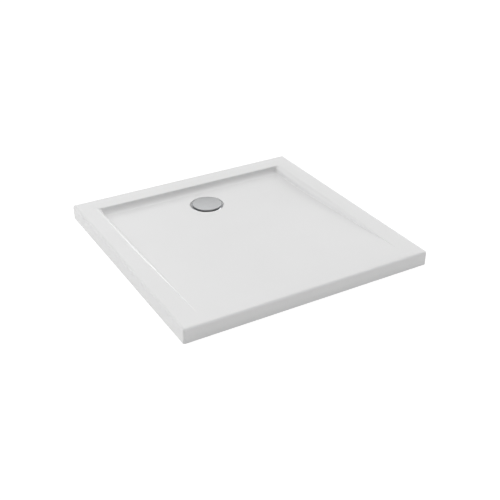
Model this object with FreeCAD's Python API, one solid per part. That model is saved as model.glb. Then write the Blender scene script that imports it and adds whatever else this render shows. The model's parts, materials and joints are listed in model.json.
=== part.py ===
import FreeCAD, Part

import math
import os

# Low square shower tray in white acrylic with its skirt standing on the floor, a basin that falls
# from the front to a round waste near the back, and a lift-off cover over the waste.
# Millimetres. The origin is the centre of the tray's footprint on the floor. +Z is up, +Y is the
# back edge beside the waste, -Y is the step-in front, where the floor of the basin meets the rim.

V = FreeCAD.Vector
UP = V(0, 0, 1)

# ---- the moulded tray
tray_width = 900.0
tray_depth = 900.0
side_rim = 75.0
back_rim = 75.0
front_rim = 55.0
basin_depth = 26.0
skirt_corner = 7.0
skirt_edge = 8.0
side_lean = math.radians(20.0)
back_lean = math.radians(6.0)
side_brow = 26.0
back_brow = 4.0
side_foot = 4.0
back_foot = 22.0
corner_blend = 10.0

# ---- fall of the basin floor
drain_setback = 190.0
ramp_lead = 70.0
back_blend = 60.0
front_blend = 25.0

# ---- laminate under the acrylic
acrylic = 4.0
backing = 2.5
backing_hem = 3.0
bond_gap = 0.2
smallest_radius = 0.5

# ---- grid of the basin surface
finest_step = 1.5
step_growth = 0.28
floor_step = 40.0
patch_margin = 18.0
wall_band = 35.0
grid_reach = 0.9

# ---- waste recess in the floor, from its hole outwards
waste_hole = 45.0
seat_width = 13.0
recess_gap = 4.0
recess_drop = 7.0
recess_edge = 2.0
recess_foot = 1.5
recess_brim = 8.0
edge_turn = math.radians(80.0)

# ---- boards and battens
board_thickness = 12.0
board_clearance = 4.0
board_bridge = 12.0
batten_clearance = 3.0
butt_gap = 0.3
notch_clearance = 3.5

# ---- waste fitting, which clears the floor by tail_end
gasket_thickness = 1.5
gasket_inset = 2.0
flange_thickness = 2.0
tail_clearance = 1.5
tail_wall = 2.5
tail_end = 1.5
tail_past_nut = 1.0
ledge_width = 2.5
ledge_drop = 6.5
throat_flare = 5.0
lower_gasket_thickness = 2.0
washer_thickness = 0.8
nut_seat = 15.0
nut_thickness = 5.2
nut_notches = 6
notch_width = 12.0
notch_depth = 4.0
running_clearance = 0.08

# ---- hair strainer
strainer_clearance = 0.3
strainer_height = 5.5
strainer_wall = 4.0
strainer_floor = 2.0
strainer_hole = 2.5
hole_rings = 3
holes_in_first_ring = 10
holes_added_per_ring = 5
hole_ring_step = 7.5
hole_margin = 2.25
boss_wall = 3.0
boss_gap = 0.5
ring_groove_depth = 1.5
ring_play = 0.05
ring_side_play = 0.2

# ---- cover
cover_side_gap = 9.0
cover_wall = 1.5
cover_crown = 7.5
cover_rise = 3.5
cover_lift = 2.0
cover_edge = 1.4
stem_radius = 8.0
stem_gap = 0.3
stem_groove_depth = 1.4
rib_count = 4
rib_thickness = 2.5
rib_inset = 4.0
hub_radius = 14.0

# ---- levelling feet
foot_margin = 38.0
middle_foot_x = 190.0
middle_foot_y = -150.0
stud_radius = 5.0
stud_top_gap = 1.5
ball_radius = 5.0
neck_step = 1.5
collar_gap = 2.0
collar_thickness = 3.0
collar_wall = 1.5
locknut_thickness = 5.0
locknut_wall = 3.5
insert_wall = 1.5
insert_end_gap = 3.0
insert_lip = 5.5
insert_flange_thickness = 1.5
insert_clearance = 0.2
pad_radius = 20.0
pad_rim = 3.0
pad_floor = 1.0
socket_wall = 4.0
socket_over_ball_centre = 2.5
cut_past = 1.0

# ---- rubber pads under the board beside the waste
support_radius = 20.0
support_x = (150.0, 290.0)

# ---- heights that follow, from the floor up through the waste fitting to the rim
inner_face = acrylic + backing
nut_bottom = tail_end + tail_past_nut
nut_top = nut_bottom + nut_thickness
washer_top = nut_top + washer_thickness
laminate_bottom = washer_top + lower_gasket_thickness
seat_z = laminate_bottom + inner_face
flange_bottom = seat_z + gasket_thickness
flange_top = flange_bottom + flange_thickness
ledge_height = flange_bottom - ledge_drop
cover_lip = flange_top + cover_lift
boss_top = flange_top - boss_gap
drain_floor = seat_z + recess_drop
tray_height = drain_floor + basin_depth
batten_top = tray_height - inner_face - bond_gap
drain_board_top = drain_floor - inner_face - bond_gap
ball_height = ball_radius + pad_floor

# ---- radii that follow, from the waste hole
flange_radius = waste_hole + seat_width
recess_radius = flange_radius + recess_gap
cover_radius = recess_radius - cover_side_gap
nut_radius = waste_hole + nut_seat
tail_radius = waste_hole - tail_clearance
throat_radius = tail_radius - tail_wall
outlet_radius = throat_radius - ledge_width
strainer_radius = throat_radius - strainer_clearance
boss_bore = stem_radius + running_clearance
insert_barrel = stud_radius + insert_wall

# ---- the ramp
drain_y = tray_depth / 2 - drain_setback
ramp_foot_y = drain_y - ramp_lead
ramp_top_y = front_rim + front_blend - tray_depth / 2
ramp_slope = basin_depth / (ramp_foot_y - ramp_top_y)
ramp_angle = math.atan(ramp_slope)


# ---- surface of the basin

def eased(value, half):
    """Zero up to -half, the value itself past half, and a parabola between the two."""
    if value <= -half:
        return 0.0
    if value >= half:
        return value
    return (value + half) ** 2 / (4 * half)


def floor_depth(y):
    """How far the basin floor lies under the rim: level round the waste, then a ramp to the front."""
    fall = ramp_slope * eased(y - ramp_top_y, front_blend)
    return fall - ramp_slope * eased(y - ramp_foot_y, back_blend)


def arc_reach(lean, radius):
    """Length of each tangent, from the corner it rounds, of an arc between a level face and a wall."""
    return radius * math.tan((math.pi / 2 - lean) / 2)


def wall_drop(inside, depth, lean, brow, foot):
    """Drop under the rim at a distance inside the wall's top line: brow arc, wall, foot arc, floor."""
    share = min(1.0, depth / math.cos(lean) / arc_reach(lean, brow + foot))
    brow = brow * share
    foot = foot * share
    brow_start = -arc_reach(lean, brow)
    foot_end = depth * math.tan(lean) + arc_reach(lean, foot)
    if inside <= brow_start:
        return 0.0
    if inside <= arc_reach(lean, brow) * math.sin(lean):
        return brow - math.sqrt(brow ** 2 - (inside - brow_start) ** 2)
    if inside <= depth * math.tan(lean) - arc_reach(lean, foot) * math.sin(lean):
        return inside / math.tan(lean)
    if inside < foot_end:
        return depth - foot + math.sqrt(foot ** 2 - (foot_end - inside) ** 2)
    return depth


def basin_height(x, y, inset):
    """Height of the face that lies inset under the show face; each wall's top line moves outwards."""
    depth = floor_depth(y)
    if depth <= 0:
        return tray_height - inset
    from_side = tray_width / 2 - side_rim + arc_reach(side_lean, inset) - abs(x)
    from_back = tray_depth / 2 - back_rim + arc_reach(back_lean, inset) - y
    side_share = 0.5 + 0.5 * max(-1.0, min(1.0, (from_back - from_side) / corner_blend))
    lean = back_lean + (side_lean - back_lean) * side_share
    brow = back_brow + (side_brow - back_brow) * side_share
    foot = back_foot + (side_foot - back_foot) * side_share
    turning = max(0.0, 1 - abs(from_side - from_back) / corner_blend)
    inside = min(from_side, from_back) - corner_blend * turning ** 2 / 4
    brow_inset = max(brow - inset, smallest_radius)
    return tray_height - inset - wall_drop(inside, depth, lean, brow_inset, foot + inset)


def stations(reach):
    """Distances inside a wall's top line from past its brow inwards, closest together at the wall."""
    brow_reach = arc_reach(side_lean, side_brow)
    index = math.floor(-math.asinh(brow_reach * step_growth / finest_step) / step_growth) - 1
    distances = []
    while finest_step * math.sinh(step_growth * index) / step_growth <= reach:
        distances.append(finest_step * math.sinh(step_growth * index) / step_growth)
        index += 1
    return distances


def spline_axis(breaks, degree):
    """Clamped spline along one axis: knots, multiplicities, and poles spaced so that it runs evenly."""
    counts = [degree + 1] + [1] * (len(breaks) - 2) + [degree + 1]
    every = [knot for knot, count in zip(breaks, counts) for _ in range(count)]
    pole_count = len(every) - degree - 1
    poles = [sum(every[index + 1:index + 1 + degree]) / degree for index in range(pole_count)]
    return breaks, counts, poles


def basin_patch(inset):
    """The basin in a rectangular patch of the rim, one smooth surface cut into bands, and its corners."""
    side_line = tray_width / 2 - side_rim + arc_reach(side_lean, inset)
    back_line = tray_depth / 2 - back_rim + arc_reach(back_lean, inset)
    front_line = front_rim - tray_depth / 2
    right = [side_line - distance for distance in stations(side_line * grid_reach)]
    back = [back_line - distance for distance in stations(2 * floor_step)]
    floor_length = back[-1] - floor_step - front_line
    count = round(floor_length / floor_step)
    front = [front_line - patch_margin]
    front += [front_line + floor_length * index / count for index in range(count + 1)]
    degree = 3
    x_knots, x_counts, x_poles = spline_axis([-x for x in right] + right[::-1], degree)
    y_knots, y_counts, y_poles = spline_axis(front + back[::-1], degree)
    poles = [[V(x, y, basin_height(x, y, inset)) for y in y_poles] for x in x_poles]
    surface = Part.BSplineSurface()
    surface.buildFromPolesMultsKnots(
        poles, x_counts, y_counts, x_knots, y_knots, False, False, degree, degree)
    x_bands = [x_knots[0], wall_band - side_line, side_line - wall_band, x_knots[-1]]
    y_bands = [y_knots[0], back_line - wall_band, y_knots[-1]]
    faces = []
    for x_low, x_high in zip(x_bands, x_bands[1:]):
        for y_low, y_high in zip(y_bands, y_bands[1:]):
            band = surface.copy()
            band.segment(x_low, x_high, y_low, y_high)
            faces.append(band.toShape())
    return faces, V(x_knots[0], y_knots[0], 0), V(x_knots[-1], y_knots[-1], 0)


# ---- plain shapes

def cylinder(radius, low, high, x=0.0, y=0.0):
    return Part.makeCylinder(radius, high - low, V(x, y, low))


def tube(outer, inner, low, high, x=0.0, y=0.0):
    return cylinder(outer, low, high, x, y).cut(cylinder(inner, low, high, x, y))


def block(low, high):
    size = high - low
    return Part.makeBox(size.x, size.y, size.z, low)


def turned(outline, x=0.0, y=0.0):
    """Solid of revolution about the upright line at x, y, from (radius, height) points."""
    points = [V(x + radius, y, height) for radius, height in outline]
    face = Part.Face(Part.makePolygon(points + points[:1]))
    return face.revolve(V(x, y, 0), UP, 360)


def hexagon(flats, low, high):
    """Hexagonal prism on the Z axis."""
    corner = flats / math.sqrt(3)
    points = [V(corner * math.cos(math.pi * side / 3), corner * math.sin(math.pi * side / 3), low)
              for side in range(7)]
    return Part.Face(Part.makePolygon(points)).extrude(V(0, 0, high - low))


# ---- the tray and what stiffens it

def recess_tool(inset):
    """What the waste recess takes out of the face that lies inset under the show face."""
    radius = recess_radius + inset
    seat = seat_z - inset
    level = drain_floor - inset
    edge = max(recess_edge - inset, smallest_radius)
    foot = min(recess_foot + inset, recess_drop - edge - smallest_radius)
    edge_centre = V(radius + edge, 0, level - edge)
    edge_middle = edge_centre + V(-edge * math.cos(edge_turn / 2), 0, edge * math.sin(edge_turn / 2))
    edge_end = edge_centre + V(-edge * math.cos(edge_turn), 0, edge * math.sin(edge_turn))
    diagonal = foot * math.cos(math.pi / 4)
    foot_middle = V(radius - foot + diagonal, 0, seat + foot - diagonal)
    brim = edge_end + V(math.sin(edge_turn), 0, math.cos(edge_turn)) * recess_brim
    corners = [
        V(0, 0, seat),
        V(radius - foot, 0, seat),
        V(radius, 0, seat + foot),
        V(radius, 0, level - edge),
        edge_end,
        brim,
        V(brim.x, 0, tray_height),
        V(0, 0, tray_height),
    ]
    edges = [Part.LineSegment(a, b).toShape() for a, b in zip(corners, corners[1:] + corners[:1])]
    edges[1] = Part.Arc(corners[1], foot_middle, corners[2]).toShape()
    edges[3] = Part.Arc(corners[3], edge_middle, edge_end).toShape()
    profile = Part.Face(Part.Wire(edges))
    tool = profile.revolve(V(0, 0, 0), UP, 360)
    tool.translate(V(0, drain_y, 0))
    return tool


def form(inset, bottom):
    """Everything under the face that lies inset inside the tray's show face, down to bottom."""
    half_x = tray_width / 2 - inset
    half_y = tray_depth / 2 - inset
    top = tray_height - inset
    body = block(V(-half_x, -half_y, bottom), V(half_x, half_y, top))
    uprights = [edge for edge in body.Edges if edge.BoundBox.ZLength > top / 2]
    body = body.makeFillet(max(skirt_corner - inset, smallest_radius), uprights)
    upper = [edge for edge in body.Edges if edge.BoundBox.ZMin > top - Part.Precision.approximation()]
    body = body.makeFillet(max(skirt_edge - inset, smallest_radius), upper)
    lid = max(body.Faces, key=lambda face: face.CenterOfMass.z)
    others = [face for face in body.Faces if not face.isSame(lid)]
    dish, low, high = basin_patch(inset)
    corners = [V(low.x, low.y, top), V(high.x, low.y, top), V(high.x, high.y, top), V(low.x, high.y, top)]
    window = Part.Face(Part.makePolygon(corners + corners[:1]))
    shell = Part.makeShell(others + lid.cut(window).Faces + dish)
    shell.sewShape()
    return Part.makeSolid(shell).cut(recess_tool(inset))


def waste_bore():
    return cylinder(waste_hole, 0, tray_height, 0, drain_y)


def tray_shell():
    return form(0, 0).cut(form(acrylic, -acrylic)).cut(waste_bore())


def glass_fibre_backing():
    return form(acrylic, backing_hem).cut(form(inner_face, 0)).cut(waste_bore())


def floor_edge(rim, lean, foot):
    """Distance from the tray's edge to where the board under the level floor may begin."""
    return rim + basin_depth * math.tan(lean) + arc_reach(lean, foot) + board_clearance


def on_ramp(shape):
    """Puts a shape that was made level, with y = 0 at the ramp's top line, on the ramp's underside."""
    shape.rotate(V(0, 0, 0), V(1, 0, 0), -math.degrees(ramp_angle))
    shape.translate(V(0, ramp_top_y, tray_height))
    return shape


def ramp_board():
    """Chipboard panel bonded under the straight part of the ramp, bored for the middle feet."""
    half_x = tray_width / 2 - floor_edge(side_rim, side_lean, side_foot)
    top = -inner_face - bond_gap
    near = (front_blend + board_clearance) / math.cos(ramp_angle)
    far = (ramp_foot_y - back_blend - board_clearance - ramp_top_y) / math.cos(ramp_angle)
    board = on_ramp(block(V(-half_x, near, top - board_thickness), V(half_x, far, top)))
    for foot in foot_places():
        if foot["tilt"] > 0:
            board = board.cut(insert_hole(foot))
    return board


def drain_board():
    """Level chipboard panel beside and behind the waste, open towards the ramp."""
    half_x = tray_width / 2 - floor_edge(side_rim, side_lean, side_foot)
    near = ramp_foot_y + back_blend + board_clearance
    notch = recess_radius + inner_face + notch_clearance
    wall_foot = tray_depth / 2 - floor_edge(back_rim, back_lean, back_foot)
    far = max(wall_foot, drain_y + notch + board_bridge)
    bottom = drain_board_top - board_thickness
    board = block(V(-half_x, near, bottom), V(half_x, far, drain_board_top))
    board = board.cut(cylinder(notch, bottom, drain_board_top, 0, drain_y))
    return board.cut(block(V(-notch, near, bottom), V(notch, drain_y, drain_board_top)))


def batten_bounds():
    """Inner and outer lines of the timber under the rim: sides in x, back and front in y."""
    side_turn = arc_reach(side_lean, max(side_brow, inner_face))
    back_turn = arc_reach(back_lean, max(back_brow, inner_face))
    side_inner = tray_width / 2 - side_rim + side_turn + batten_clearance
    back_inner = tray_depth / 2 - back_rim + back_turn + batten_clearance
    front_inner = tray_depth / 2 - front_rim + batten_clearance
    side_outer = tray_width / 2 - inner_face - batten_clearance
    end_outer = tray_depth / 2 - inner_face - batten_clearance
    return side_inner, side_outer, back_inner, front_inner, end_outer


def rim_batten(side):
    """Batten under one side of the rim; the side ones run full length, the others butt between."""
    side_inner, side_outer, back_inner, front_inner, end_outer = batten_bounds()
    low = batten_top - board_thickness
    between = side_inner - butt_gap
    boxes = {
        "left": (V(-side_outer, -end_outer, low), V(-side_inner, end_outer, batten_top)),
        "right": (V(side_inner, -end_outer, low), V(side_outer, end_outer, batten_top)),
        "back": (V(-between, back_inner, low), V(between, end_outer, batten_top)),
        "front": (V(-between, -end_outer, low), V(between, -front_inner, batten_top)),
    }
    batten = block(*boxes[side])
    for foot in foot_places():
        if side in foot["name"]:
            batten = batten.cut(insert_hole(foot))
    return batten


def support_pads():
    """Four rubber pads between the floor and the board beside the waste."""
    y = (drain_y + tray_depth / 2 - back_rim) / 2
    top = drain_board_top - board_thickness
    across = [side * x for x in support_x for side in (-1, 1)]
    return Part.makeCompound([cylinder(support_radius, 0, top, x, y) for x in across])


# ---- waste fitting

def upper_gasket():
    inner = waste_hole + gasket_inset
    return tube(flange_radius - gasket_inset, inner, seat_z, flange_bottom, 0, drain_y)


def waste_flange():
    """Chromed ring in the recess with a tail through the tray; a ledge in its throat holds the strainer."""
    outline = [
        (throat_radius + throat_flare, flange_top),
        (flange_radius - flange_thickness / 2, flange_top),
        (flange_radius, flange_top - flange_thickness / 2),
        (flange_radius, flange_bottom),
        (tail_radius, flange_bottom),
        (tail_radius, tail_end),
        (outlet_radius, tail_end),
        (outlet_radius, ledge_height),
        (throat_radius, ledge_height),
        (throat_radius, flange_bottom),
    ]
    return turned(outline, 0, drain_y)


def lower_gasket():
    return tube(nut_radius, waste_hole, washer_top, laminate_bottom, 0, drain_y)


def slip_washer():
    return tube(nut_radius, waste_hole, nut_top, washer_top, 0, drain_y)


def waste_backnut():
    """Flat ring nut on the tail with notches for a pin spanner."""
    nut = tube(nut_radius, tail_radius + running_clearance, nut_bottom, nut_top, 0, drain_y)
    for index in range(nut_notches):
        low = V(nut_radius - notch_depth, -notch_width / 2, 0)
        high = V(nut_radius + notch_depth, notch_width / 2, nut_top)
        notch = block(low, high)
        notch.rotate(V(0, 0, 0), UP, 360 * index / nut_notches)
        notch.translate(V(0, drain_y, 0))
        nut = nut.cut(notch)
    return nut


def groove_level():
    return ledge_height + strainer_height / 2


def ring_section(outer_wall, groove_floor):
    """Half thickness of a rubber ring that fills a groove up to the wall round it."""
    return (outer_wall - groove_floor) / 2 - ring_play


def grooved(shape, wall, rim, depth, level):
    """Cuts the ring groove, depth deep in a rim that runs inside a wall."""
    half = ring_section(wall, rim - depth) + ring_side_play
    return shape.cut(tube(wall, rim - depth, level - half, level + half, 0, drain_y))


def grooved_ring(wall, rim, depth, level):
    section = ring_section(wall, rim - depth)
    return Part.makeTorus(wall - ring_play - section, section, V(0, drain_y, level))


def hair_strainer():
    """Perforated cup that stands on the ledge, with a socket for the cover's stem."""
    floor_top = ledge_height + strainer_floor
    cup = cylinder(strainer_radius, ledge_height, ledge_height + strainer_height, 0, drain_y)
    cup = cup.cut(cylinder(strainer_radius - strainer_wall, floor_top, tray_height, 0, drain_y))
    cup = cup.fuse(tube(boss_bore + boss_wall, boss_bore, ledge_height, boss_top, 0, drain_y))
    cup = grooved(cup, throat_radius, strainer_radius, ring_groove_depth, groove_level())
    last_ring = strainer_radius - strainer_wall - hole_margin - strainer_hole
    for ring in range(hole_rings):
        radius = last_ring - (hole_rings - 1 - ring) * hole_ring_step
        count = holes_in_first_ring + ring * holes_added_per_ring
        for index in range(count):
            angle = 2 * math.pi * index / count
            x = radius * math.cos(angle)
            y = drain_y + radius * math.sin(angle)
            cup = cup.cut(cylinder(strainer_hole, ledge_height, floor_top, x, y))
    return cup.removeSplitter()


def strainer_ring():
    """Rubber ring in the strainer's groove."""
    return grooved_ring(throat_radius, strainer_radius, ring_groove_depth, groove_level())


# ---- cover

def crown_z():
    return drain_floor + cover_crown


def dome_sphere(shrink):
    """Ball whose top is the cover's crown."""
    radius = (cover_radius ** 2 + cover_rise ** 2) / (2 * cover_rise)
    return Part.makeSphere(radius - shrink, V(0, drain_y, crown_z() - radius))


def drain_cover():
    """Shallow chromed dome with a turned-down lip."""
    outside = cylinder(cover_radius, cover_lip, tray_height, 0, drain_y).common(dome_sphere(0))
    rim = [edge for edge in outside.Edges if edge.BoundBox.XLength > 2 * cover_radius - cover_wall]
    upper = max(rim, key=lambda edge: edge.BoundBox.ZMin)
    outside = outside.makeFillet(cover_edge, [upper])
    inside = cylinder(cover_radius - cover_wall, 0, tray_height, 0, drain_y).common(dome_sphere(cover_wall))
    return outside.cut(inside)


def cover_spider():
    """Moulded stem, hub and ribs that hold the dome over the flange and plug into the strainer."""
    foot = flange_top
    rib_reach = cover_radius - cover_wall - rib_inset
    spider = cylinder(hub_radius, foot, tray_height, 0, drain_y)
    for index in range(rib_count):
        rib = block(V(0, -rib_thickness / 2, foot), V(rib_reach, rib_thickness / 2, tray_height))
        rib.rotate(V(0, 0, 0), UP, 360 * (index + 0.5) / rib_count)
        rib.translate(V(0, drain_y, 0))
        spider = spider.fuse(rib)
    spider = spider.common(dome_sphere(cover_wall + bond_gap))
    stem_end = ledge_height + strainer_floor + stem_gap
    spider = spider.fuse(cylinder(stem_radius, stem_end, foot, 0, drain_y))
    return grooved(spider, boss_bore, stem_radius, stem_groove_depth, stem_groove_level())


def stem_groove_level():
    return (ledge_height + strainer_floor + boss_top) / 2


def stem_ring():
    """Rubber ring in the stem's groove that grips the strainer's socket."""
    return grooved_ring(boss_bore, stem_radius, stem_groove_depth, stem_groove_level())


# ---- levelling feet

def foot_places():
    """Six feet: one under each corner of the rim and two under the ramp, square to what they carry."""
    corner_x = tray_width / 2 - foot_margin
    corner_y = tray_depth / 2 - foot_margin
    rim_reach = batten_top - board_thickness - ball_height
    ramp_under = tray_height - ramp_slope * (middle_foot_y - ramp_top_y) - ball_height
    ramp_reach = ramp_under * math.cos(ramp_angle) - inner_face - bond_gap - board_thickness
    places = []
    for depth_name, y in (("front", -corner_y), ("back", corner_y)):
        for side_name, x in (("left", -corner_x), ("right", corner_x)):
            name = depth_name + "_" + side_name
            places.append({"name": name, "x": x, "y": y, "reach": rim_reach, "tilt": 0.0})
    for side_name, x in (("left", -middle_foot_x), ("right", middle_foot_x)):
        places.append({"name": "middle_" + side_name, "x": x, "y": middle_foot_y, "reach": ramp_reach,
                       "tilt": math.degrees(ramp_angle)})
    return places


def at_foot(shape, foot):
    """Moves a shape made about the ball's centre to its foot and tilts it square to the board."""
    shape.rotate(V(0, 0, 0), V(1, 0, 0), -foot["tilt"])
    shape.translate(V(foot["x"], foot["y"], ball_height))
    return shape


def insert_hole(foot):
    low = foot["reach"] - cut_past
    high = foot["reach"] + board_thickness + cut_past
    return at_foot(cylinder(insert_barrel + insert_clearance, low, high), foot)


def foot_insert(foot):
    """Drive-in nut in the board's underside."""
    reach = foot["reach"]
    end = reach + board_thickness - insert_end_gap
    nut = cylinder(insert_barrel, reach, end)
    nut = nut.fuse(cylinder(insert_barrel + insert_lip, reach - insert_flange_thickness, reach))
    nut = nut.cut(cylinder(stud_radius + running_clearance, 0, end))
    return at_foot(nut.removeSplitter(), foot)


def foot_locknut(foot):
    top = foot["reach"] - insert_flange_thickness
    nut = hexagon(2 * (stud_radius + locknut_wall), top - locknut_thickness, top)
    return at_foot(nut.cut(cylinder(stud_radius + running_clearance, 0, top)), foot)


def foot_stud(foot):
    """Threaded stud with a spanner collar and a ball that snaps into the pad."""
    collar_low = socket_over_ball_centre + collar_gap
    collar_flats = 2 * (stud_radius + collar_wall)
    stud_top = foot["reach"] + board_thickness - stud_top_gap
    stud = Part.makeSphere(ball_radius)
    stud = stud.fuse(cylinder(ball_radius - neck_step, 0, collar_low))
    stud = stud.fuse(hexagon(collar_flats, collar_low, collar_low + collar_thickness))
    stud = stud.fuse(cylinder(stud_radius, collar_low, stud_top))
    return at_foot(stud.removeSplitter(), foot)


def foot_pad(foot):
    """Moulded pad with a socket round the ball."""
    neck = ball_radius + socket_wall
    top = ball_height + socket_over_ball_centre
    outline = [(0, 0), (pad_radius, 0), (pad_radius, pad_rim), (neck, top), (0, top)]
    pad = turned(outline, foot["x"], foot["y"])
    socket = Part.makeSphere(ball_radius + running_clearance, V(foot["x"], foot["y"], ball_height))
    return pad.cut(socket)


# ---- everything, one node each

def parts():
    feet = foot_places()
    nodes = {
        "tray_shell": tray_shell(),
        "glass_fibre_backing": glass_fibre_backing(),
        "ramp_board": ramp_board(),
        "drain_board": drain_board(),
        "support_pads": support_pads(),
        "upper_gasket": upper_gasket(),
        "waste_flange": waste_flange(),
        "lower_gasket": lower_gasket(),
        "slip_washer": slip_washer(),
        "waste_backnut": waste_backnut(),
        "hair_strainer": hair_strainer(),
        "strainer_ring": strainer_ring(),
        "drain_cover": drain_cover(),
        "cover_spider": cover_spider(),
        "stem_ring": stem_ring(),
        "foot_inserts": Part.makeCompound([foot_insert(foot) for foot in feet]),
        "foot_locknuts": Part.makeCompound([foot_locknut(foot) for foot in feet]),
    }
    for side in ("left", "right", "back", "front"):
        nodes["rim_batten_" + side] = rim_batten(side)
    for foot in feet:
        nodes["foot_stud_" + foot["name"]] = foot_stud(foot)
        nodes["foot_pad_" + foot["name"]] = foot_pad(foot)
    return nodes


os.makedirs("parts", exist_ok=True)
for name, shape in parts().items():
    shape.exportStep("parts/" + name + ".step")
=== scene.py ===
import json
import math

import bpy
from mathutils import Matrix, Vector


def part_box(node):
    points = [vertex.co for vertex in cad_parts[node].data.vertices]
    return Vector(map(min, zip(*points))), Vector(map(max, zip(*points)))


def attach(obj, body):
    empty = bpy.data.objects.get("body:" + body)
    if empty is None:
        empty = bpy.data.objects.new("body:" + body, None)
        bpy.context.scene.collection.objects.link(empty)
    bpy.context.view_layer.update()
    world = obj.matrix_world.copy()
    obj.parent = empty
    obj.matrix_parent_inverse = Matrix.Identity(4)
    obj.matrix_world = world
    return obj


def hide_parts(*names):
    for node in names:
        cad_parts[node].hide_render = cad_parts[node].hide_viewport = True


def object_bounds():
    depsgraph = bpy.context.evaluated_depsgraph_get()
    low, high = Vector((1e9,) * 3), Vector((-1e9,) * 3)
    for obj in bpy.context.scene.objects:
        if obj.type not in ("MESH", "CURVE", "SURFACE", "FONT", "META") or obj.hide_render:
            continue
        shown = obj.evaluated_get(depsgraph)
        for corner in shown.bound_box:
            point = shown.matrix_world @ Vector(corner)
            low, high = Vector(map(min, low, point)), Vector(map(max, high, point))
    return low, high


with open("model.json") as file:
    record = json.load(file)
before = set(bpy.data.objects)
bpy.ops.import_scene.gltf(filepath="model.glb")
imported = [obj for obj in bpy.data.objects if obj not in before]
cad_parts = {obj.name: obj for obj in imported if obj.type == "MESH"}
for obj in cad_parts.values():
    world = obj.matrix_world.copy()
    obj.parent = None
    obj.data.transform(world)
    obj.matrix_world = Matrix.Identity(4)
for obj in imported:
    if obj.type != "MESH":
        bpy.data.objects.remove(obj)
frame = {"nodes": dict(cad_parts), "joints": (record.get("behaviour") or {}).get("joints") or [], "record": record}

# Low white shower tray: an acrylic moulding stiffened with laminate and chipboard, a round waste under
# a lift-off metal cover, and six levelling feet. Metres.

cad_low, cad_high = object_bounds()

# ---- camera: distances in shares of the tray's side, the sensor in millimetres
SIDE = cad_high.x - cad_low.x
CAMERA_YAW = math.radians(-30.363)
CAMERA_ELEVATION = math.radians(30.125)
CAMERA_ROLL = math.radians(0.241)
CAMERA_DISTANCE = 3.3197
CAMERA_RIGHT = 0.0322
CAMERA_UP = -0.04043
FOCAL_PIXELS = 853.7
IMAGE_PIXELS = 500
SENSOR = 36.0

# ---- light: bearing from +X towards +Y, height and width in degrees, then what a white face square
# to the lamp would show
LAMPS = {
    "right": (0, 5, 60, 0.76),
    "left": (180, 50, 60, 0.33),
    "high_right": (0, 50, 60, 0.22),
    "left_rear": (135, 25, 60, 0.19),
    "high_rear": (90, 50, 60, 0.11),
    "low_right_rear": (48, 6, 20, 0.035),
}
SKY = 0.24

# The camera sees the floor as a white glow, with a little of its lit tone on top that keeps the shadow.
FLOOR_SIZE = 12.0
FLOOR_GLOW = 0.90
FLOOR_TONE = 0.20
FLOOR_COLOUR = "#FAFAFA"

# ---- the moulding, by the names of its tree's inputs. A basin wall leans back from upright, and is
# rounded to the rim by its brow and to the floor by its foot.
QUARTER = math.pi / 2
MOULDING = {
    "Side": SIDE,
    "Height": cad_high.z - cad_low.z,
    "Side Rim": 0.075,
    "Back Rim": 0.075,
    "Front Rim": 0.055,
    "Basin Depth": 0.026,
    "Side Lean": math.radians(20.0),
    "Back Lean": math.radians(6.0),
    "Side Brow": 0.026,
    "Back Brow": 0.004,
    "Side Foot": 0.004,
    "Back Foot": 0.022,
    "Corner Blend": 0.010,
    "Ramp Foot": 0.190,
    "Ramp Blend": 0.060,
    "Front Blend": 0.025,
    "Drain": 0.260,
    "Recess Radius": 0.062,
    "Recess Drop": 0.007,
    "Recess Edge": 0.002,
    "Recess Foot": 0.0015,
    "Waste Hole": 0.045,
    "Skirt Corner": 0.007,
    "Skirt Edge": 0.008,
    "Sheet": 0.004,
}

# The back face's outward curves are tighter by the sheet's thickness, but never under this radius.
SMALLEST_RADIUS = 0.0005
WELD = 0.00001
SHARP_ANGLE = math.radians(35.0)

# The moulding's mesh is a grid that is pulled into shape by its line numbers, counted from the waste.
# Round the waste the lines are rings, from the hole to a square window in the floor.
HOLE_RING = 12
SEAT_IN_RING = 13
SEAT_OUT_RING = 14
FOOT_RING = 18
WALL_RING = 19
LIP_RING = 25
WINDOW_RING = 32
WINDOW = 0.084

# Past the flat of the rim they are rings again: over the edge, down the skirt and under its hem. A
# narrow strip on each side of the edge keeps its shading off the flats.
EDGE_RINGS = 10
SKIRT_RINGS = (11, 13)
HEM_RING = 14
EDGE_STRIP = 0.0015

# Between the two they run straight: from one line number to another, up to a named line. The flat of
# the rim ends at the two line numbers that come first.
SIDE_FLAT = 92
END_FLAT = 86
ACROSS = (
    (0, WINDOW_RING, WINDOW),
    (WINDOW_RING, 41, "side_inner"),
    (41, 88, "side_outer"),
    (88, 91, "flat_strip"),
    (91, SIDE_FLAT, "flat_end"),
    (SIDE_FLAT, SIDE_FLAT + 1, "Side"),
)
ALONG = (
    (0, WINDOW_RING, "window_back"),
    (WINDOW_RING, 34, "back_inner"),
    (34, 54, "back_middle"),
    (54, 82, "back_outer"),
    (82, 85, "flat_strip"),
    (85, END_FLAT, "flat_end"),
    (END_FLAT, END_FLAT + 1, "Side"),
    (0, -WINDOW_RING, "window_front"),
    (-WINDOW_RING, -68, "front_inner"),
    (-68, -82, "front_outer"),
    (-82, -85, "front_strip"),
    (-85, -END_FLAT, "front_end"),
    (-END_FLAT, -END_FLAT - 1, "beyond_front"),
)

# The named lines near a basin wall, by how far past the wall's top line they lie.
WALL_MARGINS = {"side_inner": -0.019, "side_outer": 0.020, "back_inner": -0.028, "back_middle": -0.008,
                "back_outer": 0.0056, "front_inner": 0.057, "front_outer": -0.005}

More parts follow.
